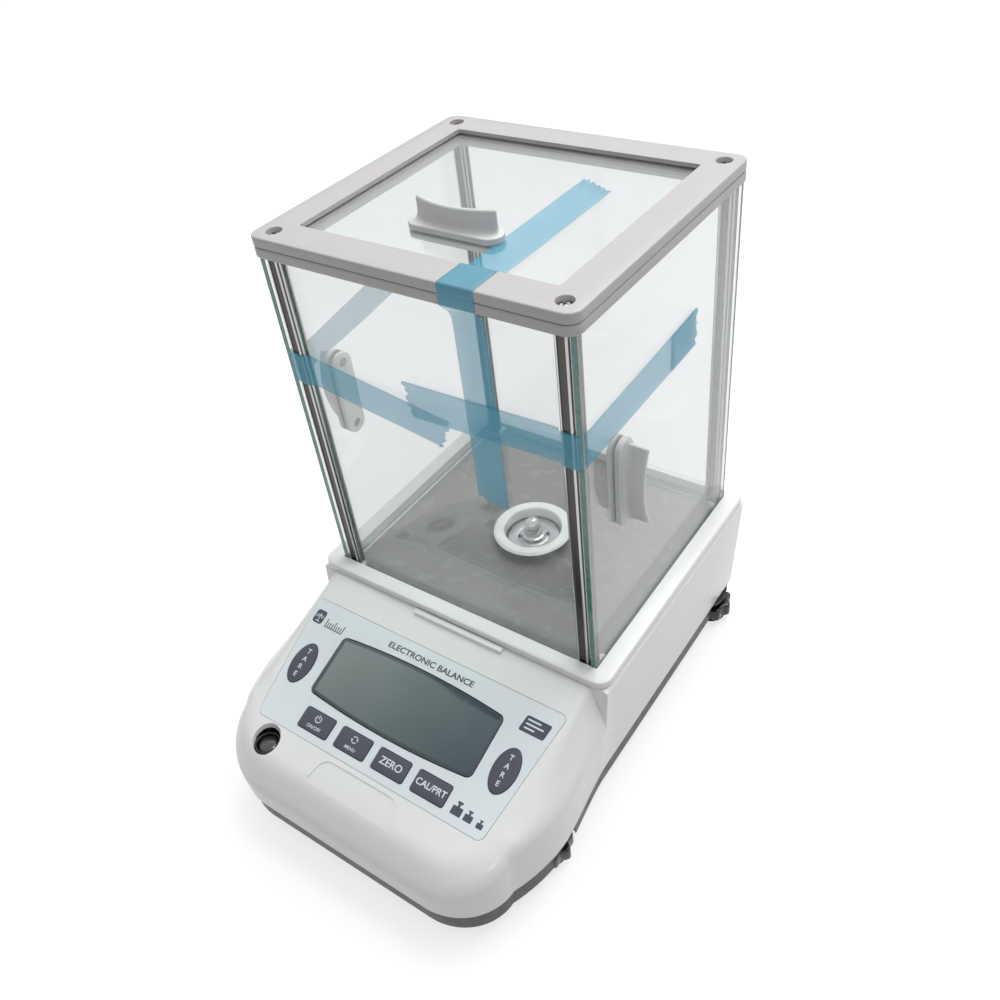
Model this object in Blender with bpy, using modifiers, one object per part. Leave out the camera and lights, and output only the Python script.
"""Analytical balance with a sliding glass draught shield.

The frame: X to the user's right, Y to the back, Z up.  The origin is at the
bottom centre of the whole instrument, on the surface that it stands on.
All lengths are in metres.  Left and right are the user's.
"""
import math

import bmesh
import bpy
from mathutils import Matrix, Vector

# ---------------------------------------------------------------- clearances
GAP = 0.0003            # between pieces that touch
KEY_GAP = 0.0004        # round a key, in its cut-out
SLIDE_GAP = 0.0004      # each side of a sliding glass, in its groove
CUT_THROUGH = 0.010     # how far a cutter reaches past what it cuts through
CUT_BY = 0.002          # the same, where a neighbour is close
OVERSHOOT = 0.001       # how far two shapes reach into each other before they are joined

# --------------------------------------------------------------------- base
BODY_DEPTH = 0.330      # nose to back wall
BODY_REAR_WIDTH = 0.222
BODY_BULGE = 0.0025     # how far each side swells out beside the keypad
BODY_NOSE_WIDTH = 0.208
NOSE_RADIUS_X = 0.040
NOSE_RADIUS_Y = 0.036
REAR_RADIUS = 0.010
REAR_RADIUS_LEAST = 0.002
SHOULDER_Y = -0.036     # where the rear box meets the lower front part
NOSE_START_Y = -0.125   # where the nose starts to round over
WALL_TOP_REAR = 0.075   # height of the side wall's top edge, deck to nose
WALL_TOP_FRONT = 0.068
WALL_TOP_NOSE = 0.046
CHAMFER_REAR = 0.0105   # width of the chamfer between side wall and panel
CHAMFER_FRONT = 0.0160
SHELL_SILL = 0.026      # height of the shell's lower edge
SHELL_TOP = 0.102
SHELL_WALL = 0.0025
SIDE_DRAFT = 0.0045     # the rear side walls lean in by this much at the sill
TRAY_INSET = 0.0022     # tray wall inside the shell's outline
TRAY_BOTTOM = 0.009
TRAY_FLOOR = 0.003
TRAY_WALL = 0.0025

# ------------------------------------------------------------- deck and floor
DECK_HEIGHT = 0.108
DECK_WIDTH = 0.220
DECK_FRONT = -0.033
DECK_BACK = 0.1615
DECK_CORNER = 0.008
WELL_WIDTH = 0.198      # inside the rim
WELL_FRONT = -0.023
WELL_BACK = 0.156
WELL_DEPTH = 0.007      # rim top to floor top
FLOOR_THICKNESS = 0.002
PAN_WALL = 0.003
PAN_BOTTOM = 0.0025
BOSS_RADIUS = 0.0155
BOSS_HEIGHT = 0.004     # above the floor

# --------------------------------------------------------------- glass chamber
DOOR_GLASS = 0.0032
DOOR_OUTER_X = 0.0980   # outer face of the side doors
DOOR_CHANNEL = 0.1022   # floor of the channel that a side door runs in
POST_WIDTH = 0.0093
POST_ROUND = 0.0024
POST_DOOR_GAP = 0.0006
POST_FRONT = -0.0226
POST_REAR = 0.1530
FIXED_GLASS = 0.0040
GLASS_REACH = 0.0016    # how deep a fixed glass goes into its posts
FRAME_TOP = 0.343
FRAME_WIDTH = 0.200
FRAME_FRONT = -0.0264
FRAME_BACK = 0.1564
FRAME_CORNER = 0.007
FRAME_UPPER = 0.0060
FRAME_LOWER = 0.0057
OPENING_WIDTH = 0.1605
OPENING_FRONT = -0.0060
OPENING_BACK = 0.1365
TOP_GLASS = 0.0030
TOP_GLASS_PLAY = 0.0006   # free height in the roof glass's slot
TOP_OVERLAP = 0.0035    # glass under the frame, each side
TOP_GLASS_BACK = 0.146
GROOVE_DEPTH = 0.0026
SCREW_INWARD = 0.00055   # a frame screw stands this much inside its post's middle
SCREW_FRONT = -0.0160
SCREW_REAR = 0.1460
SCREW_HEAD_RADIUS = 0.0040
SCREW_HEAD_PLAY = 0.0005
SCREW_HEAD = 0.0028
SCREW_SINK = 0.0016
SCREW_SHANK_RADIUS = 0.0016
SCREW_BITE = 0.009      # shank length inside a post
SCREW_SOCKET = 0.0015   # depth of the hexagon socket
SCREW_KEY_RADIUS = 0.0016
SCREW_HEAD_ROUND = 0.0007

# ------------------------------------------------------------------- handles
HANDLE_LENGTH = 0.0575
HANDLE_WIDTH = 0.0148
HANDLE_BASE = 0.0033
BLADE_LENGTH = 0.049
BLADE_HEIGHT = 0.0118
BLADE_THICKNESS = 0.0028
BLADE_SAG = 0.0055
BACKING = 0.0030
HANDLE_SCREW_PITCH = 0.0448
HANDLE_SCREW_HEAD = 0.0027
HANDLE_SCREW_SHANK = 0.0013
SIDE_HANDLE_Y = 0.0130
SIDE_HANDLE_Z = 0.2230
TOP_HANDLE_Y = 0.0245

# ------------------------------------------------------------ weighing fitting
RING_Y = 0.0635
RING_OUTER = 0.0270       # the ring's flange
RING_INNER = 0.0193
RING_WALL = 0.0023        # below the flange
RING_LEDGE = 0.0008       # floor seen inside the ring
RING_HEIGHT = 0.0078
RING_FLANGE = 0.0022
RING_EDGE = 0.0012        # slope of the flange's rim
CARRIER_PLAY = 0.0009     # round the disc that carries the stud, in the floor's hole
CARRIER_THICKNESS = 0.0015
STUD_RADIUS = 0.0057
STUD_HEIGHT = 0.0155      # above the disc
STUD_FLANGE_RADIUS = 0.0078
STUD_FLANGE = 0.0018
STUD_ROD_RADIUS = 0.003
STUD_DOME = ((0.0, 0.0), (0.55, 0.0008), (0.85, 0.0024), (1.0, 0.0050))   # radius, drop
CELL_CLEARANCE = 0.0010

# ------------------------------------------------------------- keypad, display
PANEL_START_Y = -0.040  # where the sloping panel meets its datum height
PANEL_START_Z = 0.100
PANEL_SLOPE = math.atan(0.34)
LABEL_TOP = -0.0135     # the rest of this block is in the panel's own plane
LABEL_BOTTOM = -0.0970
LABEL_TOP_WIDTH = 0.194
LABEL_BOTTOM_WIDTH = 0.174
LABEL_ROUND = 0.004
LABEL_FILM = 0.0005
WINDOW_WIDTH = 0.1260
WINDOW_HEIGHT = 0.0400
WINDOW_BOW = 0.0034
WINDOW_Y = -0.0500
WINDOW_THICKNESS = 0.0015
VIEW_LIP = 0.002        # ledge that carries the window, above and below
VIEW_SIDE = 0.004       # the same, at each end
MODULE_WIDTH = 0.124
MODULE_HEIGHT = 0.0400
MODULE_THICKNESS = 0.006
KEY_WIDTH = 0.0238
KEY_HEIGHT = 0.0134
KEY_ROUND = 0.0015
KEY_ROW_Y = -0.0850
KEY_PITCH = 0.0299
TARE_X = 0.0792
TARE_Y = -0.0570
TARE_WIDTH = 0.0158
TARE_HEIGHT = 0.0280
KEY_PROUD = 0.0006
KEY_DEPTH = 0.0040      # cap top to flange bottom
KEY_FLANGE = 0.0010
BOARD_THICKNESS = 0.0016

# -------------------------------------------------------------- bubble level
LEVEL_X = -0.070
LEVEL_Y = -0.1427
LEVEL_TOP = 0.0618
LEVEL_RADIUS = 0.0086
LEVEL_HEIGHT = 0.011
VIAL_RADIUS = 0.0066

# ----------------------------------------------------------------------- feet
FOOT_X = 0.098
FOOT_BOSS_INWARD = 0.007  # the knob's roof is centred nearer the middle than the knob
FOOT_FRONT_Y = -0.086
FOOT_REAR_Y = 0.141
KNOB_RADIUS = 0.0150
KNOB_LOBES = 8
KNOB_LOBE_DEPTH = 0.0013
KNOB_HEIGHT = 0.0106
PAD_RADIUS = 0.0110
PAD_HEIGHT = 0.0046
POCKET_PLAY = 0.0022      # round a knob
POCKET_HEADROOM = 0.0027  # over a knob
POCKET_ROOF = 0.0024
BOSS_UNDER = 0.0002       # the roof boss is this much smaller than the pocket
FOOT_THREAD = 0.0036
STEM_REACH = 0.003        # stem above the pocket's roof

# ------------------------------------------------------------------ internals
CELL_WIDTH = 0.072
CELL_DEPTH = 0.120
CELL_BASE = 0.0205
CELL_TOP = 0.0780
CELL_PLATE = 0.006
CELL_PLATE_SIDE = 0.012
CELL_PLATE_END = 0.008
MAIN_BOARD_X = 0.070
MAIN_BOARD_SIZE = (0.036, 0.110)
BOARD_STAND = 0.006

PARTS = "analytical_balance"
CUTTERS = "cutters"
DOOR_INNER_X = DOOR_OUTER_X - DOOR_GLASS
POST_OUTER_X = DOOR_INNER_X - POST_DOOR_GAP
POST_X = POST_OUTER_X - POST_WIDTH / 2
FLOOR_TOP = DECK_HEIGHT - WELL_DEPTH
WELL_FLOOR = FLOOR_TOP - FLOOR_THICKNESS - GAP
BOSS_TOP = FLOOR_TOP + BOSS_HEIGHT
BELOW_DECK = FLOOR_TOP - 0.020   # how far the deck's cutters reach, below and above
ABOVE_DECK = DECK_HEIGHT + 0.012
FRAME_SPLIT = FRAME_TOP - FRAME_UPPER
FRAME_LOWER_TOP = FRAME_SPLIT - GAP
FRAME_BOTTOM = FRAME_LOWER_TOP - FRAME_LOWER
DOOR_BOTTOM = DOOR_CHANNEL + SLIDE_GAP
CHANNEL_INNER_X = DOOR_INNER_X - SLIDE_GAP
DOOR_TOP = FRAME_BOTTOM + GROOVE_DEPTH - 0.0006
TOP_GLASS_BOTTOM = FRAME_SPLIT + 0.0001
TOP_SLOT = TOP_GLASS + TOP_GLASS_PLAY
SCREW_X = POST_X - SCREW_INWARD
RING_NECK = RING_INNER + RING_WALL
FLOOR_HOLE = RING_INNER - RING_LEDGE
CARRIER_RADIUS = FLOOR_HOLE - CARRIER_PLAY
CARRIER_TOP = FLOOR_TOP
STUD_TOP = CARRIER_TOP + STUD_HEIGHT
KNOB_BOTTOM = PAD_HEIGHT + GAP
KNOB_TOP = KNOB_BOTTOM + KNOB_HEIGHT
POCKET_RADIUS = KNOB_RADIUS + POCKET_PLAY
POCKET_TOP = KNOB_TOP + POCKET_HEADROOM


# ------------------------------------------------------------------ workbench
def clear_scene():
    """Empty the file: objects first, then the collections that held them."""
    for item in list(bpy.data.objects):
        bpy.data.objects.remove(item, do_unlink=True)
    for group in list(bpy.data.collections):
        bpy.data.collections.remove(group)


def new_collection(name):
    group = bpy.data.collections.new(name)
    bpy.context.scene.collection.children.link(group)
    return group


def make_material(name, colour, roughness, metallic=0.0, transmission=0.0):
    material = bpy.data.materials.new(name)
    material.use_nodes = True
    shader = material.node_tree.nodes["Principled BSDF"]
    shader.inputs["Base Color"].default_value = (*colour, 1.0)
    shader.inputs["Roughness"].default_value = roughness
    shader.inputs["Metallic"].default_value = metallic
    shader.inputs["Transmission Weight"].default_value = transmission
    return material


def finish_mesh(name, bm, group=PARTS, material=None):
    """Turn a bmesh into an object of its collection."""
    bmesh.ops.recalc_face_normals(bm, faces=bm.faces)
    mesh = bpy.data.meshes.new(name)
    bm.to_mesh(mesh)
    bm.free()
    item = bpy.data.objects.new(name, mesh)
    bpy.data.collections[group].objects.link(item)
    if material is not None:
        mesh.materials.append(material)
    if group == CUTTERS:
        item.hide_render = True
        item.display_type = "WIRE"
    return item


def edges_along(bm, axis):
    """The edges of a box that run along one axis (0, 1 or 2)."""
    found = []
    for edge in bm.edges:
        run = edge.verts[1].co - edge.verts[0].co
        if abs(run[axis]) > 0.999 * run.length:
            found.append(edge)
    return found


def block_mesh(low, high, radius=0.0, axis=2, segments=4):
    """A box between two corners, its edges along one axis rounded."""
    bm = bmesh.new()
    bmesh.ops.create_cube(bm, size=1.0)
    low = Vector(low)
    high = Vector(high)
    bmesh.ops.scale(bm, vec=high - low, verts=bm.verts)
    bmesh.ops.translate(bm, vec=(low + high) / 2, verts=bm.verts)
    if radius > 0.0:
        bmesh.ops.bevel(bm, geom=edges_along(bm, axis), offset=radius, segments=segments,
                        profile=0.5, affect="EDGES", material=-1)
    return bm


def block(name, low, high, material=None, radius=0.0, axis=2, segments=4, group=PARTS):
    return finish_mesh(name, block_mesh(low, high, radius, axis, segments), group, material)


def cutter_block(name, low, high, radius=0.0, axis=2, segments=4):
    return block(name, low, high, None, radius, axis, segments, CUTTERS)


def rod_mesh(radius, bottom, top, sides=32):
    bm = bmesh.new()
    bmesh.ops.create_cone(bm, cap_ends=True, segments=sides, radius1=radius, radius2=radius,
                          depth=top - bottom)
    bmesh.ops.translate(bm, vec=(0, 0, (top + bottom) / 2), verts=bm.verts)
    return bm


def rod(name, x, y, radius, bottom, top, material=None, sides=32, group=PARTS):
    """An upright cylinder, with its object's origin on its own axis."""
    item = finish_mesh(name, rod_mesh(radius, bottom, top, sides), group, material)
    item.location = (x, y, 0.0)
    return item


def turned(name, x, y, profile, material=None, sides=36):
    """A solid of revolution.  The profile runs down its outer side, top to bottom."""
    mesh = bpy.data.meshes.new(name)
    points = [(radius, 0.0, height) for radius, height in profile]
    links = [(i, i + 1) for i in range(len(points) - 1)]
    mesh.from_pydata(points, links, [])
    item = bpy.data.objects.new(name, mesh)
    bpy.data.collections[PARTS].objects.link(item)
    if material is not None:
        mesh.materials.append(material)
    screw = item.modifiers.new("turn", "SCREW")
    screw.steps = sides
    screw.render_steps = sides
    screw.use_merge_vertices = True
    screw.merge_threshold = 0.00005
    item.location = (x, y, 0.0)
    return item


def cut(item, cutter, name=None):
    add_boolean(item, cutter, "DIFFERENCE", name)


def join(item, other, name=None):
    add_boolean(item, other, "UNION", name)


def add_boolean(item, other, operation, name=None):
    modifier = item.modifiers.new(name or other.name, "BOOLEAN")
    modifier.operation = operation
    modifier.solver = "EXACT"
    modifier.object = other


def pivot(name, location, parent=None, slope=0.0):
    """An empty on a joint's axis, or at the panel's datum."""
    empty = bpy.data.objects.new(name, None)
    empty.empty_display_size = 0.01
    bpy.data.collections[PARTS].objects.link(empty)
    empty.location = location
    empty.rotation_euler = (slope, 0.0, 0.0)
    empty.parent = parent
    return empty


# ----------------------------------------------------------- the body's outline
def side_half_width(y):
    """Half the body's width at the shoulder, from the rear towards the nose."""
    rear = BODY_REAR_WIDTH / 2
    swell_start = DECK_FRONT
    swell_y = FOOT_FRONT_Y
    nose = BODY_NOSE_WIDTH / 2
    nose_y = -BODY_DEPTH / 2 + NOSE_RADIUS_Y
    if y >= swell_start:
        return rear
    if y >= swell_y:
        t = (swell_start - y) / (swell_start - swell_y)
        return rear + BODY_BULGE * t * t * (3 - 2 * t)
    t = min(1.0, (swell_y - y) / (swell_y - nose_y))
    return rear + BODY_BULGE + (nose - rear - BODY_BULGE) * t * t


def no_inset(y):
    return 0.0


def body_outline(inset=no_inset):
    """Right half of the body's plan, from the middle of the back to the nose.

    inset(y) moves the outline inwards; it is a function of the distance along the body.
    """
    back = BODY_DEPTH / 2
    at_back = inset(back)
    radius = max(REAR_RADIUS - at_back, REAR_RADIUS_LEAST)
    rear_x = BODY_REAR_WIDTH / 2 - at_back - radius
    rear_y = back - at_back - radius
    points = [Vector((0.0, rear_y + radius)), Vector((rear_x, rear_y + radius))]
    for step in range(1, 4):
        angle = math.radians(90 - 30 * step)
        points.append(Vector((rear_x + radius * math.cos(angle),
                              rear_y + radius * math.sin(angle))))
    nose_y = -back + NOSE_RADIUS_Y
    stations = [0.0, DECK_FRONT]
    side_steps = 6
    for step in range(side_steps + 1):
        stations.append(SHOULDER_Y + (nose_y - SHOULDER_Y) * step / side_steps)
    for y in stations:
        points.append(Vector((side_half_width(y) - inset(y), y)))
    nose_steps = 8
    at_nose = inset(-back)
    corner_x = BODY_NOSE_WIDTH / 2 - NOSE_RADIUS_X
    for step in range(1, nose_steps + 1):
        angle = math.pi / 2 * step / nose_steps
        points.append(Vector((corner_x + (NOSE_RADIUS_X - at_nose) * math.cos(angle),
                              nose_y - (NOSE_RADIUS_Y - at_nose) * math.sin(angle))))
    points.append(Vector((0.0, points[-1].y)))
    return points


def full_loop(half):
    """A whole closed outline from its right half."""
    mirrored = [Vector((-p.x, p.y)) for p in reversed(half[1:-1])]
    return list(half) + mirrored


def panel_height(y):
    return PANEL_START_Z + math.tan(PANEL_SLOPE) * (y - PANEL_START_Y)


def on_panel(y):
    """True where the body carries the sloping panel, in front of the deck."""
    return y < DECK_FRONT - 0.002


def ramp(y, start, end, low, high):
    t = min(1.0, max(0.0, (y - start) / (end - start)))
    return low + (high - low) * t


def shoulder_inset(y):
    """How far the top surface's edge lies inside the side wall."""
    if not on_panel(y):
        return 0.0018
    return ramp(y, DECK_FRONT, FOOT_FRONT_Y, CHAMFER_REAR, CHAMFER_FRONT)


def shoulder_drop(y):
    """Height of the side wall's top edge."""
    if not on_panel(y):
        return SHELL_TOP - 0.0018
    nose = -BODY_DEPTH / 2
    if y > NOSE_START_Y:
        return ramp(y, DECK_FRONT, FOOT_FRONT_Y, WALL_TOP_REAR, WALL_TOP_FRONT)
    return ramp(y, NOSE_START_Y, nose, WALL_TOP_FRONT, WALL_TOP_NOSE)


def sill_inset(y):
    return ramp(y, DECK_FRONT, FOOT_FRONT_Y, SIDE_DRAFT, 0.0012)


# ------------------------------------------------------------------- housing
def build_shell(material, label_cutters):
    """White upper housing: a loft of three outlines, hollow and open below."""
    half = body_outline()
    sill = full_loop(body_outline(sill_inset))
    wall = full_loop(half)
    top = full_loop(body_outline(shoulder_inset))
    bm = bmesh.new()
    rings = []
    rings.append([bm.verts.new((p.x, p.y, SHELL_SILL)) for p in sill])
    rings.append([bm.verts.new((p.x, p.y, shoulder_drop(p.y))) for p in wall])
    edge = []
    for p, q in zip(top, wall):
        height = panel_height(p.y) if on_panel(q.y) else SHELL_TOP
        edge.append(bm.verts.new((p.x, p.y, min(height, SHELL_TOP))))
    rings.append(edge)
    count = len(wall)
    for lower, upper in zip(rings, rings[1:]):
        for i in range(count):
            j = (i + 1) % count
            bm.faces.new((lower[i], lower[j], upper[j], upper[i]))
    right = max(i for i in range(len(half)) if not on_panel(half[i].y))
    left = count - right
    bm.faces.new(edge[right:left + 1])
    bm.faces.new(edge[left:] + edge[:right + 1])
    shell = finish_mesh("top_shell", bm, material=material)
    hollow = shell.modifiers.new("wall", "SOLIDIFY")
    hollow.thickness = SHELL_WALL
    hollow.offset = -1.0
    hollow.use_even_offset = True
    margin = PAN_WALL + GAP
    cut(shell, cutter_block("deck_opening", (-WELL_WIDTH / 2 - margin, WELL_FRONT - margin, BELOW_DECK),
                            (WELL_WIDTH / 2 + margin, WELL_BACK + margin, ABOVE_DECK)))
    for cutter in label_cutters:
        cut(shell, cutter)
    bore = rod("level_bore", LEVEL_X, LEVEL_Y, LEVEL_RADIUS + GAP,
               LEVEL_TOP - LEVEL_HEIGHT - CUT_THROUGH, LEVEL_TOP + 2 * CUT_THROUGH, group=CUTTERS)
    cut(shell, bore)
    for name, (low, high) in port_boxes().items():
        grown = Vector((GAP, CUT_THROUGH, GAP))
        cut(shell, cutter_block(name + "_hole", Vector(low) - grown, Vector(high) + grown))
    return shell


def foot_places():
    return {"front_left": (-FOOT_X, FOOT_FRONT_Y), "front_right": (FOOT_X, FOOT_FRONT_Y),
            "rear_left": (-FOOT_X, FOOT_REAR_Y), "rear_right": (FOOT_X, FOOT_REAR_Y)}


def tray_outline_mesh(extra, bottom, top):
    half = body_outline(lambda y: sill_inset(y) + TRAY_INSET + extra)
    bm = bmesh.new()
    face = bm.faces.new([bm.verts.new((p.x, p.y, bottom)) for p in full_loop(half)])
    raised = bmesh.ops.extrude_face_region(bm, geom=[face])
    verts = [v for v in raised["geom"] if isinstance(v, bmesh.types.BMVert)]
    bmesh.ops.translate(bm, vec=(0, 0, top - bottom), verts=verts)
    return bm


def build_tray(material):
    """Dark lower housing with a pocket in each corner for a levelling knob."""
    tray = finish_mesh("base_tray", tray_outline_mesh(0.0, TRAY_BOTTOM, SHELL_SILL - GAP),
                       material=material)
    inside = tray_outline_mesh(TRAY_WALL, TRAY_BOTTOM + TRAY_FLOOR, SHELL_SILL + CUT_THROUGH)
    cut(tray, finish_mesh("tray_inside", inside, CUTTERS))
    for corner, (x, y) in foot_places().items():
        inward = -math.copysign(FOOT_BOSS_INWARD, x)
        boss = rod("boss_" + corner, x + inward, y, POCKET_RADIUS - BOSS_UNDER, TRAY_BOTTOM,
                   POCKET_TOP + POCKET_ROOF, sides=40, group=CUTTERS)
        join(tray, boss)
    for corner, (x, y) in foot_places().items():
        pocket = rod("pocket_" + corner, x, y, POCKET_RADIUS, 0.0, POCKET_TOP, sides=40,
                     group=CUTTERS)
        thread = rod("thread_" + corner, x, y, FOOT_THREAD + GAP, 0.0, POCKET_TOP + CUT_THROUGH * 2, sides=20,
                     group=CUTTERS)
        cut(tray, pocket)
        cut(tray, thread)
    return tray


def build_feet(rubber, black):
    """Four levelling feet: a rubber pad below a lobed knob on its threaded stem."""
    for corner, (x, y) in foot_places().items():
        rod("foot_pad_" + corner, x, y, PAD_RADIUS, 0.0, PAD_HEIGHT, rubber, sides=28)
        bm = bmesh.new()
        steps = KNOB_LOBES * 6
        ring = []
        for step in range(steps):
            angle = 2 * math.pi * step / steps
            radius = KNOB_RADIUS - KNOB_LOBE_DEPTH * (1 - math.cos(KNOB_LOBES * angle))
            ring.append(bm.verts.new((radius * math.cos(angle), radius * math.sin(angle),
                                      KNOB_BOTTOM)))
        raised = bmesh.ops.extrude_face_region(bm, geom=[bm.faces.new(ring)])
        verts = [v for v in raised["geom"] if isinstance(v, bmesh.types.BMVert)]
        bmesh.ops.translate(bm, vec=(0, 0, KNOB_TOP - KNOB_BOTTOM), verts=verts)
        knob = finish_mesh("foot_knob_" + corner, bm, material=black)
        knob.location = (x, y, 0.0)
        stem = rod("stem_" + corner, x, y, FOOT_THREAD, KNOB_TOP - CUT_BY,
                   POCKET_TOP + POCKET_ROOF + STEM_REACH, sides=20, group=CUTTERS)
        join(knob, stem)


# ---------------------------------------------------------------------- deck
def build_deck(white, grey):
    """Raised square rim with a sunk well, and the grey floor plate that lies in it."""
    half_well = WELL_WIDTH / 2
    deck = block("deck_frame", (-DECK_WIDTH / 2, DECK_FRONT, SHELL_TOP + GAP),
                 (DECK_WIDTH / 2, DECK_BACK, DECK_HEIGHT), white, DECK_CORNER)
    pan = cutter_block("deck_pan", (-half_well - PAN_WALL, WELL_FRONT - PAN_WALL,
                                    WELL_FLOOR - PAN_BOTTOM),
                       (half_well + PAN_WALL, WELL_BACK + PAN_WALL, SHELL_TOP + CUT_BY))
    join(deck, pan)
    well = cutter_block("deck_well", (-CHANNEL_INNER_X, WELL_FRONT, WELL_FLOOR),
                        (CHANNEL_INNER_X, WELL_BACK, ABOVE_DECK))
    cut(deck, well)
    keep = cutter_block("boss_limit", (-POST_OUTER_X - GAP, WELL_FRONT - OVERSHOOT,
                                        WELL_FLOOR - OVERSHOOT),
                        (POST_OUTER_X + GAP, WELL_BACK + OVERSHOOT, BOSS_TOP))
    for index, (x, y) in enumerate(well_corners()):
        boss = rod("post_boss_%d" % index, x, y, BOSS_RADIUS, WELL_FLOOR - OVERSHOOT, BOSS_TOP,
                   sides=48, group=CUTTERS)
        limit = boss.modifiers.new("limit", "BOOLEAN")
        limit.operation = "INTERSECT"
        limit.solver = "EXACT"
        limit.object = keep
        join(deck, boss)
    cut(deck, rod("deck_hole", 0.0, RING_Y, FLOOR_HOLE, BELOW_DECK, ABOVE_DECK, sides=48,
                  group=CUTTERS))
    for side in (-1, 1):
        x0, x1 = sorted((side * CHANNEL_INNER_X, side * half_well))
        channel = cutter_block("door_channel_%d" % side, (x0, WELL_FRONT, DOOR_CHANNEL),
                               (x1, WELL_BACK, ABOVE_DECK))
        cut(deck, channel)
        x0, x1 = sorted((side * CHANNEL_INNER_X, side * (DOOR_OUTER_X + SLIDE_GAP)))
        exit_slot = cutter_block("door_exit_%d" % side, (x0, WELL_BACK - CUT_BY, DOOR_CHANNEL),
                                 (x1, DECK_BACK + CUT_BY, ABOVE_DECK))
        cut(deck, exit_slot)

    floor_half = CHANNEL_INNER_X - GAP
    plate = block("chamber_floor", (-floor_half, WELL_FRONT + GAP, WELL_FLOOR + GAP),
                  (floor_half, WELL_BACK - GAP, FLOOR_TOP), grey)
    for index, (x, y) in enumerate(well_corners()):
        cut(plate, rod("floor_corner_%d" % index, x, y, BOSS_RADIUS + GAP, BELOW_DECK, ABOVE_DECK,
                       sides=48, group=CUTTERS))
    cut(plate, rod("floor_hole", 0.0, RING_Y, FLOOR_HOLE, BELOW_DECK, ABOVE_DECK, sides=48,
                   group=CUTTERS))
    return deck


def well_corners():
    half = WELL_WIDTH / 2
    return [(-half, WELL_FRONT), (half, WELL_FRONT), (-half, WELL_BACK), (half, WELL_BACK)]


# ------------------------------------------------------------- glass chamber
def fixed_glass_y():
    """Front and back faces of each fixed glass, in the middle of its posts."""
    front = POST_FRONT + POST_WIDTH / 2
    rear = POST_REAR - POST_WIDTH / 2
    half = FIXED_GLASS / 2
    return {"front": (front - half, front + half), "rear": (rear - half, rear + half)}


def build_chamber(glass, aluminium, white, steel):
    slots = {}
    reach = POST_X - POST_WIDTH / 2 + GLASS_REACH
    for side, (y0, y1) in fixed_glass_y().items():
        block("glass_" + side, (-reach, y0, FLOOR_TOP + GAP),
              (reach, y1, FRAME_BOTTOM + GROOVE_DEPTH - GAP), glass)
        slots[side] = cutter_block("slot_" + side, (-reach - GAP, y0 - GAP, FLOOR_TOP),
                                   (reach + GAP, y1 + GAP, FRAME_BOTTOM + GROOVE_DEPTH))
    posts = {"front_left": (-1, POST_FRONT, POST_FRONT + POST_WIDTH, "front"),
             "front_right": (1, POST_FRONT, POST_FRONT + POST_WIDTH, "front"),
             "rear_left": (-1, POST_REAR - POST_WIDTH, POST_REAR, "rear"),
             "rear_right": (1, POST_REAR - POST_WIDTH, POST_REAR, "rear")}
    screw_holes = screw_cutters()
    for corner, (side, y0, y1, end) in posts.items():
        x = side * POST_X
        post = block("post_" + corner, (x - POST_WIDTH / 2, y0, BOSS_TOP + GAP),
                     (x + POST_WIDTH / 2, y1, FRAME_BOTTOM - GAP), aluminium, POST_ROUND)
        cut(post, slots[end])
        cut(post, screw_holes[corner])
    cut(bpy.data.objects["deck_frame"], slots["front"])
    cut(bpy.data.objects["deck_frame"], slots["rear"])
    build_top_frame(white, slots, screw_holes)
    build_frame_screws(steel)


def frame_screw_places():
    return {"front_left": (-SCREW_X, SCREW_FRONT), "front_right": (SCREW_X, SCREW_FRONT),
            "rear_left": (-SCREW_X, SCREW_REAR), "rear_right": (SCREW_X, SCREW_REAR)}


def screw_cutters():
    found = {}
    for corner, (x, y) in frame_screw_places().items():
        found[corner] = rod("screw_way_" + corner, x, y, SCREW_SHANK_RADIUS + GAP,
                            FRAME_BOTTOM - SCREW_BITE - OVERSHOOT, FRAME_TOP + OVERSHOOT, sides=20,
                            group=CUTTERS)
    return found


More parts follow.
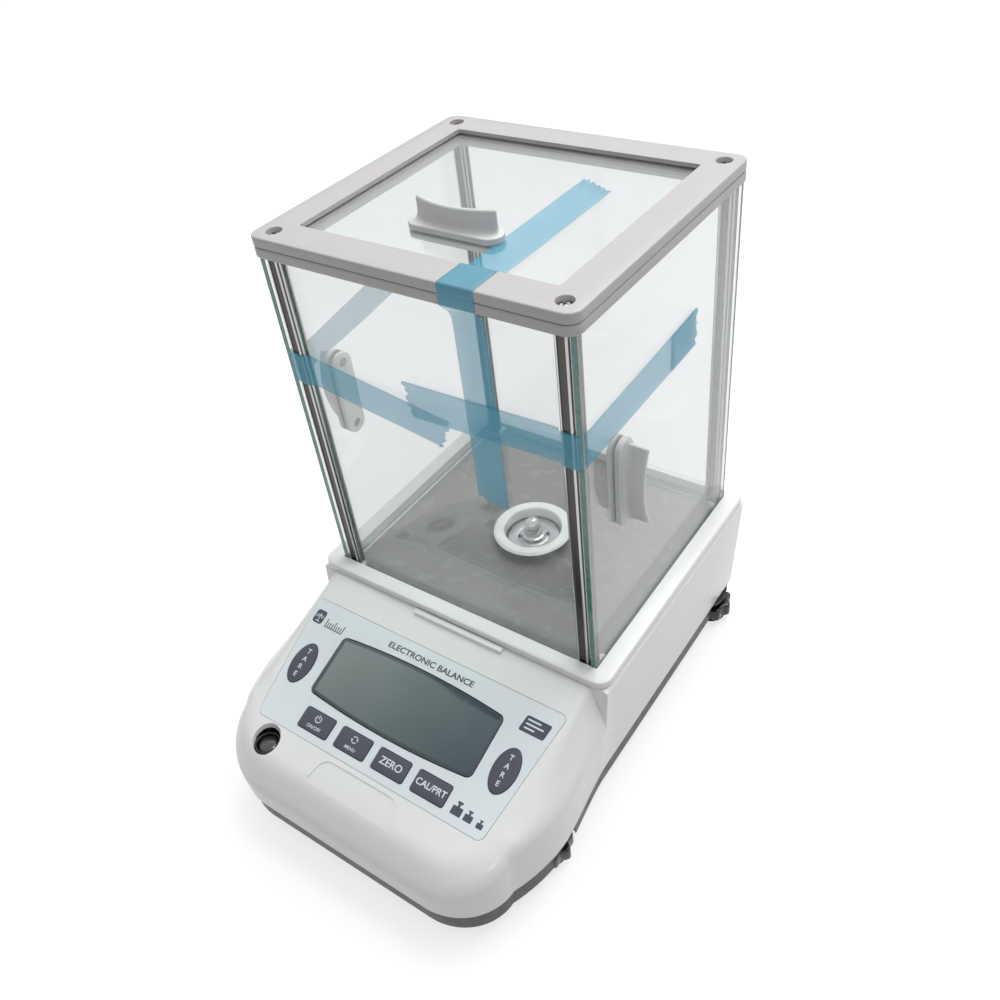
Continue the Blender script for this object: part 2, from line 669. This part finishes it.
def build_top_frame(white, slots, screw_holes):
    """Two white layers: the top glass slides between them, the doors below them."""
    half = FRAME_WIDTH / 2
    upper = block("top_frame_upper", (-half, FRAME_FRONT, FRAME_SPLIT),
                  (half, FRAME_BACK, FRAME_TOP), white, FRAME_CORNER)
    lower = block("top_frame_lower", (-half, FRAME_FRONT, FRAME_BOTTOM),
                  (half, FRAME_BACK, FRAME_LOWER_TOP), white, FRAME_CORNER)
    opening = cutter_block("frame_opening", (-OPENING_WIDTH / 2, OPENING_FRONT,
                                             FRAME_BOTTOM - CUT_THROUGH),
                           (OPENING_WIDTH / 2, OPENING_BACK, FRAME_TOP + CUT_THROUGH))
    cut(upper, opening)
    cut(lower, opening)
    reach = OPENING_WIDTH / 2 + TOP_OVERLAP + SLIDE_GAP
    rebate = cutter_block("top_rebate", (-reach, OPENING_FRONT - TOP_OVERLAP - SLIDE_GAP,
                                         FRAME_SPLIT - CUT_BY),
                          (reach, FRAME_BACK + CUT_THROUGH, FRAME_SPLIT + TOP_SLOT))
    cut(upper, rebate)
    for side in (-1, 1):
        x0, x1 = sorted((side * (DOOR_INNER_X - SLIDE_GAP), side * (DOOR_OUTER_X + SLIDE_GAP)))
        groove = cutter_block("door_groove_%d" % side, (x0, WELL_FRONT, FRAME_BOTTOM - CUT_BY),
                              (x1, FRAME_BACK + CUT_THROUGH, FRAME_BOTTOM + GROOVE_DEPTH))
        cut(lower, groove)
    for slot in slots.values():
        cut(lower, slot)
    for corner, (x, y) in frame_screw_places().items():
        cut(lower, screw_holes[corner])
        cut(upper, screw_holes[corner])
        sink = rod("screw_sink_" + corner, x, y, SCREW_HEAD_RADIUS + SCREW_HEAD_PLAY,
                   FRAME_TOP - SCREW_SINK - SCREW_HEAD - GAP, FRAME_TOP + CUT_BY, sides=32,
                   group=CUTTERS)
        cut(upper, sink)


def build_frame_screws(steel):
    head_top = FRAME_TOP - SCREW_SINK
    for corner, (x, y) in frame_screw_places().items():
        profile = [(0.0, head_top), (SCREW_HEAD_RADIUS * 0.8, head_top),
                   (SCREW_HEAD_RADIUS, head_top - SCREW_HEAD_ROUND),
                   (SCREW_HEAD_RADIUS, head_top - SCREW_HEAD),
                   (SCREW_SHANK_RADIUS, head_top - SCREW_HEAD),
                   (SCREW_SHANK_RADIUS, FRAME_BOTTOM - SCREW_BITE),
                   (0.0, FRAME_BOTTOM - SCREW_BITE)]
        screw = turned("frame_screw_" + corner, x, y, profile, steel, sides=24)
        socket = rod("socket_" + corner, x, y, SCREW_KEY_RADIUS, head_top - SCREW_SOCKET, head_top + OVERSHOOT,
                     sides=6, group=CUTTERS)
        cut(screw, socket)


# -------------------------------------------------------------- sliding glasses
def handle_blade(name):
    """The upright grip of a handle: an arc in plan, standing on the base's top."""
    half = BLADE_LENGTH / 2
    radius = (half * half + BLADE_SAG * BLADE_SAG) / (2 * BLADE_SAG)
    spread = math.asin(half / radius)
    steps = 10
    bm = bmesh.new()
    outline = []
    for shift, order in ((0.0, 1), (BLADE_THICKNESS, -1)):
        for step in range(steps + 1)[::order]:
            angle = -spread + 2 * spread * step / steps
            outline.append(bm.verts.new((radius * math.sin(angle),
                                         radius - BLADE_SAG - (radius - shift) * math.cos(angle)
                                         + BLADE_SAG / 2, HANDLE_BASE - 0.001)))
    raised = bmesh.ops.extrude_face_region(bm, geom=[bm.faces.new(outline)])
    verts = [v for v in raised["geom"] if isinstance(v, bmesh.types.BMVert)]
    bmesh.ops.translate(bm, vec=(0, 0, BLADE_HEIGHT + 0.001), verts=verts)
    return finish_mesh(name, bm, CUTTERS)


def handle_parts(side, place, white, steel, door):
    """Grip outside the glass, backing plate inside it, two screws through both.

    Each is made lying on the XY plane, long along X, its blade towards -Y and its
    glass below Z = 0, and is then moved into its door's place.
    """
    half = HANDLE_LENGTH / 2
    wide = HANDLE_WIDTH / 2
    round_end = wide - 0.0001
    glass = TOP_GLASS if side == "top" else DOOR_GLASS
    grip = block("handle_%s_grip" % side, (-half, -wide, GAP), (half, wide, GAP + HANDLE_BASE),
                 white, round_end, segments=8)
    blade = handle_blade("blade_" + side)
    join(grip, blade)
    inner = -glass - GAP
    backing = block("handle_%s_backing" % side, (-half, -wide, inner - BACKING),
                    (half, wide, inner), white, round_end, segments=8)
    moved = [grip, backing, blade]
    for end, x in (("front", -HANDLE_SCREW_PITCH / 2), ("rear", HANDLE_SCREW_PITCH / 2)):
        label = "%s_%s" % (side, end)
        way = rod("handle_way_" + label, x, 0.0, HANDLE_SCREW_SHANK + GAP,
                  inner - BACKING - 0.001, GAP + HANDLE_BASE * 0.7, sides=16, group=CUTTERS)
        sink = rod("handle_sink_" + label, x, 0.0, HANDLE_SCREW_HEAD + GAP,
                   inner - BACKING - 0.001, inner - BACKING + 0.0018, sides=24, group=CUTTERS)
        cut(grip, way)
        cut(backing, way)
        cut(backing, sink)
        cut(door, way)
        head_face = inner - BACKING + 0.0002
        profile = [(0.0, GAP + HANDLE_BASE * 0.6), (HANDLE_SCREW_SHANK, GAP + HANDLE_BASE * 0.6),
                   (HANDLE_SCREW_SHANK, head_face + 0.0012), (HANDLE_SCREW_HEAD, head_face + 0.0012),
                   (HANDLE_SCREW_HEAD, head_face), (0.0, head_face)]
        screw = turned("handle_%s_screw_%s" % (side, end), x, 0.0, profile, steel, sides=20)
        moved += [way, sink, screw]
    for item in moved:
        item.matrix_world = place @ item.matrix_basis


def build_doors(glass, white, steel):
    """Left, right and top glasses; each slides towards the back."""
    for side, sign in (("left", -1), ("right", 1)):
        x0, x1 = sorted((sign * DOOR_INNER_X, sign * DOOR_OUTER_X))
        door = block("glass_" + side, (x0, POST_FRONT, DOOR_BOTTOM), (x1, POST_REAR, DOOR_TOP),
                     glass)
        turn = Matrix.Rotation(math.radians(90 * sign), 4, "Y")
        place = Matrix.Translation((sign * DOOR_OUTER_X, SIDE_HANDLE_Y, SIDE_HANDLE_Z)) @ turn
        handle_parts(side, place, white, steel, door)
    reach = OPENING_WIDTH / 2 + TOP_OVERLAP
    lid = block("glass_top", (-reach, OPENING_FRONT - TOP_OVERLAP, TOP_GLASS_BOTTOM),
                (reach, TOP_GLASS_BACK, TOP_GLASS_BOTTOM + TOP_GLASS), glass)
    place = Matrix.Translation((0.0, TOP_HANDLE_Y, TOP_GLASS_BOTTOM + TOP_GLASS))
    handle_parts("top", place, white, steel, lid)


# ------------------------------------------------------------ weighing fitting
def build_weighing(white, steel, grey, aluminium):
    """The raised ring, the disc and stud that carry a pan, and the cell under the floor."""
    base = FLOOR_TOP + GAP
    top = base + RING_HEIGHT
    under = top - RING_FLANGE
    ring = [(RING_INNER, top - 0.0008), (RING_INNER + 0.0008, top),
            (RING_OUTER - RING_EDGE, top - 0.0004), (RING_OUTER, top - RING_EDGE),
            (RING_OUTER, under), (RING_NECK, under), (RING_NECK, base),
            (RING_INNER, base), (RING_INNER, top - 0.0008)]
    turned("ring_collar", 0.0, RING_Y, ring, white, sides=48)
    carrier = rod("carrier_disc", 0.0, RING_Y, CARRIER_RADIUS, CARRIER_TOP - CARRIER_THICKNESS,
                  CARRIER_TOP, grey, sides=48)
    cut(carrier, rod("carrier_hole", 0.0, RING_Y, STUD_ROD_RADIUS + GAP, BELOW_DECK,
                     ABOVE_DECK, sides=20, group=CUTTERS))
    seat = CARRIER_TOP + GAP
    stud = [(STUD_RADIUS * share, STUD_TOP - drop) for share, drop in STUD_DOME]
    stud += [(STUD_RADIUS, seat + STUD_FLANGE + 0.0006), (STUD_FLANGE_RADIUS, seat + STUD_FLANGE),
             (STUD_FLANGE_RADIUS, seat), (STUD_ROD_RADIUS, seat),
             (STUD_ROD_RADIUS, CELL_TOP + CELL_CLEARANCE), (0.0, CELL_TOP + CELL_CLEARANCE)]
    turned("pan_stud", 0.0, RING_Y, stud, steel, sides=32)
    half = CELL_WIDTH / 2
    block("weighing_cell", (-half, RING_Y - CELL_DEPTH / 2, CELL_BASE + GAP),
          (half, RING_Y + CELL_DEPTH / 2, CELL_TOP), aluminium, 0.004)
    plate_top = CELL_BASE
    block("cell_base_plate", (-half - CELL_PLATE_SIDE, RING_Y - CELL_DEPTH / 2 - CELL_PLATE_END,
                              plate_top - CELL_PLATE),
          (half + CELL_PLATE_SIDE, RING_Y + CELL_DEPTH / 2 + CELL_PLATE_END, plate_top), steel, 0.003)


# ----------------------------------------------------------- panel and display
def key_table():
    """Each key's centre, width and height in the panel's plane, and its corner radius."""
    keys = {}
    for index, name in enumerate(("power", "menu", "zero", "cal_print")):
        keys["key_" + name] = ((index - 1.5) * KEY_PITCH, KEY_ROW_Y, KEY_WIDTH, KEY_HEIGHT,
                               KEY_ROUND)
    for side, sign in (("left", -1), ("right", 1)):
        keys["key_tare_" + side] = (sign * TARE_X, TARE_Y, TARE_WIDTH, TARE_HEIGHT, 0.0)
    return keys


def pad_mesh(key, grow, bottom, top):
    """A key's plan, a rounded rectangle or an ellipse, between two levels."""
    x, y, width, height, radius = key
    if radius > 0.0:
        low = (x - width / 2 - grow, y - height / 2 - grow, bottom)
        high = (x + width / 2 + grow, y + height / 2 + grow, top)
        return block_mesh(low, high, radius + max(grow, 0.0), segments=3)
    bm = rod_mesh(1.0, bottom, top, sides=40)
    scale = (width / 2 + grow, height / 2 + grow, 1.0)
    bmesh.ops.scale(bm, vec=scale, verts=bm.verts)
    bmesh.ops.translate(bm, vec=(x, y, 0.0), verts=bm.verts)
    return bm


def label_mesh(grow, bottom, top):
    """The membrane's plan: wider at the top, with rounded corners."""
    bm = block_mesh((-LABEL_TOP_WIDTH / 2, LABEL_BOTTOM - grow, bottom),
                    (LABEL_TOP_WIDTH / 2, LABEL_TOP + grow, top))
    for vert in bm.verts:
        width = LABEL_TOP_WIDTH if vert.co.y > (LABEL_TOP + LABEL_BOTTOM) / 2 else LABEL_BOTTOM_WIDTH
        vert.co.x = math.copysign(width / 2 + grow, vert.co.x)
    uprights = edges_along(bm, 2)
    bmesh.ops.bevel(bm, geom=uprights, offset=LABEL_ROUND + max(grow, 0.0), segments=4,
                    profile=0.5, affect="EDGES", material=-1)
    return bm


def window_mesh(grow, bottom, top):
    """The display window's plan: a rectangle whose long sides bow outwards."""
    steps = 8
    half = WINDOW_WIDTH / 2 + grow
    bm = bmesh.new()
    outline = []
    for sign in (-1, 1):
        for step in range(steps + 1):
            x = sign * (half - 2 * half * step / steps) * -1
            bow = WINDOW_BOW * (1 - (x / half) ** 2)
            outline.append(bm.verts.new((x, WINDOW_Y + sign * (WINDOW_HEIGHT / 2 + grow + bow),
                                         bottom)))
    raised = bmesh.ops.extrude_face_region(bm, geom=[bm.faces.new(outline)])
    verts = [v for v in raised["geom"] if isinstance(v, bmesh.types.BMVert)]
    bmesh.ops.translate(bm, vec=(0, 0, top - bottom), verts=verts)
    corners = [edge for edge in edges_along(bm, 2)
               if abs(abs(edge.verts[0].co.x) - half) < 1e-6]
    bmesh.ops.bevel(bm, geom=corners, offset=0.0035, segments=3, profile=0.5, affect="EDGES",
                    material=-1)
    return bm


def on_panel_frame(item, frame):
    item.parent = frame
    return item


def panel_cutters(frame):
    """What the shell loses to the membrane, the window and the keys."""
    film = LABEL_FILM + GAP
    recess = on_panel_frame(finish_mesh("label_recess", label_mesh(GAP, -film, CUT_THROUGH), CUTTERS),
                            frame)
    seat = on_panel_frame(finish_mesh("window_seat", window_mesh(GAP, -WINDOW_THICKNESS - 2 * GAP,
                                                                 CUT_THROUGH), CUTTERS), frame)
    view = on_panel_frame(cutter_block("window_view", (-WINDOW_WIDTH / 2 + VIEW_SIDE,
                                                       WINDOW_Y - WINDOW_HEIGHT / 2 + VIEW_LIP,
                                                       -CUT_THROUGH),
                                       (WINDOW_WIDTH / 2 - VIEW_SIDE,
                                        WINDOW_Y + WINDOW_HEIGHT / 2 - VIEW_LIP,
                                        CUT_THROUGH)), frame)
    cutters = [recess, seat, view]
    for name, key in key_table().items():
        hole = finish_mesh(name + "_hole", pad_mesh(key, KEY_GAP, -CUT_THROUGH, CUT_THROUGH), CUTTERS)
        cutters.append(on_panel_frame(hole, frame))
    return cutters


def build_panel(frame, film, dark, tinted, lcd, board):
    label = finish_mesh("panel_label", label_mesh(0.0, -LABEL_FILM, 0.0), material=film)
    on_panel_frame(label, frame)
    cut(label, bpy.data.objects["window_seat"])
    for name in key_table():
        cut(label, bpy.data.objects[name + "_hole"])
    window = finish_mesh("lcd_window", window_mesh(-GAP, -WINDOW_THICKNESS - GAP, -GAP),
                         material=tinted)
    on_panel_frame(window, frame)
    under = -SHELL_WALL - GAP
    module = block("lcd_module", (-MODULE_WIDTH / 2, WINDOW_Y - MODULE_HEIGHT / 2,
                                  under - MODULE_THICKNESS),
                   (MODULE_WIDTH / 2, WINDOW_Y + MODULE_HEIGHT / 2, under), lcd)
    on_panel_frame(module, frame)
    board_top = under - MODULE_THICKNESS - GAP
    circuit = block("display_board", (-LABEL_BOTTOM_WIDTH / 2, KEY_ROW_Y - 0.009,
                                      board_top - BOARD_THICKNESS),
                    (LABEL_BOTTOM_WIDTH / 2, WINDOW_Y + MODULE_HEIGHT / 2 + 0.006, board_top),
                    board, 0.002)
    on_panel_frame(circuit, frame)
    for name, key in key_table().items():
        x, y = key[0], key[1]
        local = (0.0, 0.0) + key[2:]
        axis = pivot(name + "_axis", (x, y, 0.0), frame)
        cap = finish_mesh(name, pad_mesh(local, 0.0, KEY_PROUD - KEY_DEPTH, KEY_PROUD),
                          material=dark)
        cap.parent = axis
        flange = finish_mesh(name + "_flange", pad_mesh(local, KEY_FLANGE, KEY_PROUD - KEY_DEPTH,
                                                        -SHELL_WALL - 0.0004), CUTTERS)
        flange.parent = axis
        join(cap, flange)


def build_level(black, glass):
    cup_bottom = LEVEL_TOP - LEVEL_HEIGHT
    wall = [(VIAL_RADIUS + GAP, LEVEL_TOP - 0.0006), (LEVEL_RADIUS - 0.0006, LEVEL_TOP),
            (LEVEL_RADIUS, LEVEL_TOP - 0.0006), (LEVEL_RADIUS, cup_bottom), (0.0, cup_bottom),
            (0.0, cup_bottom + 0.002), (VIAL_RADIUS + GAP, cup_bottom + 0.002),
            (VIAL_RADIUS + GAP, LEVEL_TOP - 0.0006)]
    turned("level_cup", LEVEL_X, LEVEL_Y, wall, black, sides=36)
    rod("level_vial", LEVEL_X, LEVEL_Y, VIAL_RADIUS, cup_bottom + 0.002 + GAP,
        LEVEL_TOP - 0.0016, glass, sides=36)


# ------------------------------------------------------------------ rear ports
def port_boxes():
    """Rear sockets, let into the back wall."""
    face = BODY_DEPTH / 2 - SIDE_DRAFT + 0.001
    return {"dc_inlet": ((0.052, face - 0.016, 0.044), (0.064, face, 0.056)),
            "serial_port": ((0.006, face - 0.014, 0.044), (0.037, face, 0.056))}


def build_ports(black, steel):
    boxes = port_boxes()
    inlet = block("dc_inlet", *boxes["dc_inlet"], black, 0.0015, axis=1)
    low, high = boxes["dc_inlet"]
    middle = ((low[0] + high[0]) / 2, (low[2] + high[2]) / 2)
    bore = finish_mesh("inlet_bore", rod_mesh(0.0031, -0.012, 0.004, 20), CUTTERS)
    bore.matrix_world = (Matrix.Translation((middle[0], high[1], middle[1]))
                         @ Matrix.Rotation(math.radians(-90), 4, "X"))
    cut(inlet, bore)
    port = block("serial_port", *boxes["serial_port"], steel, 0.0015, axis=1)
    low, high = boxes["serial_port"]
    cut(port, cutter_block("port_mouth", (low[0] + 0.006, high[1] - 0.005, low[2] + 0.002),
                           (high[0] - 0.006, high[1] + 0.004, high[2] - 0.002)))


def build_main_board(board):
    wide, deep = MAIN_BOARD_SIZE
    floor = TRAY_BOTTOM + TRAY_FLOOR
    block("main_board", (MAIN_BOARD_X - wide / 2, RING_Y - deep / 2, floor + BOARD_STAND),
          (MAIN_BOARD_X + wide / 2, RING_Y + deep / 2, floor + BOARD_STAND + BOARD_THICKNESS), board,
          0.002)


def main():
    clear_scene()
    new_collection(PARTS)
    new_collection(CUTTERS)
    white = make_material("white_abs", (0.80, 0.80, 0.78), 0.25)
    dark_grey = make_material("dark_grey_abs", (0.05, 0.05, 0.055), 0.45)
    grey = make_material("floor_grey", (0.30, 0.30, 0.29), 0.30)
    glass = make_material("clear_glass", (0.95, 0.98, 0.97), 0.02, transmission=1.0)
    aluminium = make_material("aluminium", (0.70, 0.71, 0.72), 0.25, metallic=1.0)
    steel = make_material("steel", (0.62, 0.62, 0.62), 0.25, metallic=1.0)
    film = make_material("membrane_film", (0.66, 0.71, 0.73), 0.35)
    key_dark = make_material("key_dark", (0.06, 0.06, 0.08), 0.40)
    tinted = make_material("window_tint", (0.10, 0.14, 0.15), 0.10)
    lcd = make_material("lcd_module", (0.20, 0.24, 0.22), 0.40)
    board = make_material("circuit_board", (0.02, 0.16, 0.08), 0.50)
    black = make_material("black_plastic", (0.02, 0.02, 0.02), 0.30)
    rubber = make_material("rubber", (0.03, 0.03, 0.03), 0.80)

    panel = pivot("panel_plane", (0.0, PANEL_START_Y, PANEL_START_Z), slope=PANEL_SLOPE)
    build_shell(white, panel_cutters(panel))
    build_tray(dark_grey)
    build_feet(rubber, black)
    build_deck(white, grey)
    build_chamber(glass, aluminium, white, steel)
    build_doors(glass, white, steel)
    build_weighing(white, steel, grey, aluminium)
    build_panel(panel, film, key_dark, tinted, lcd, board)
    build_level(black, glass)
    build_ports(black, steel)
    build_main_board(board)


main()
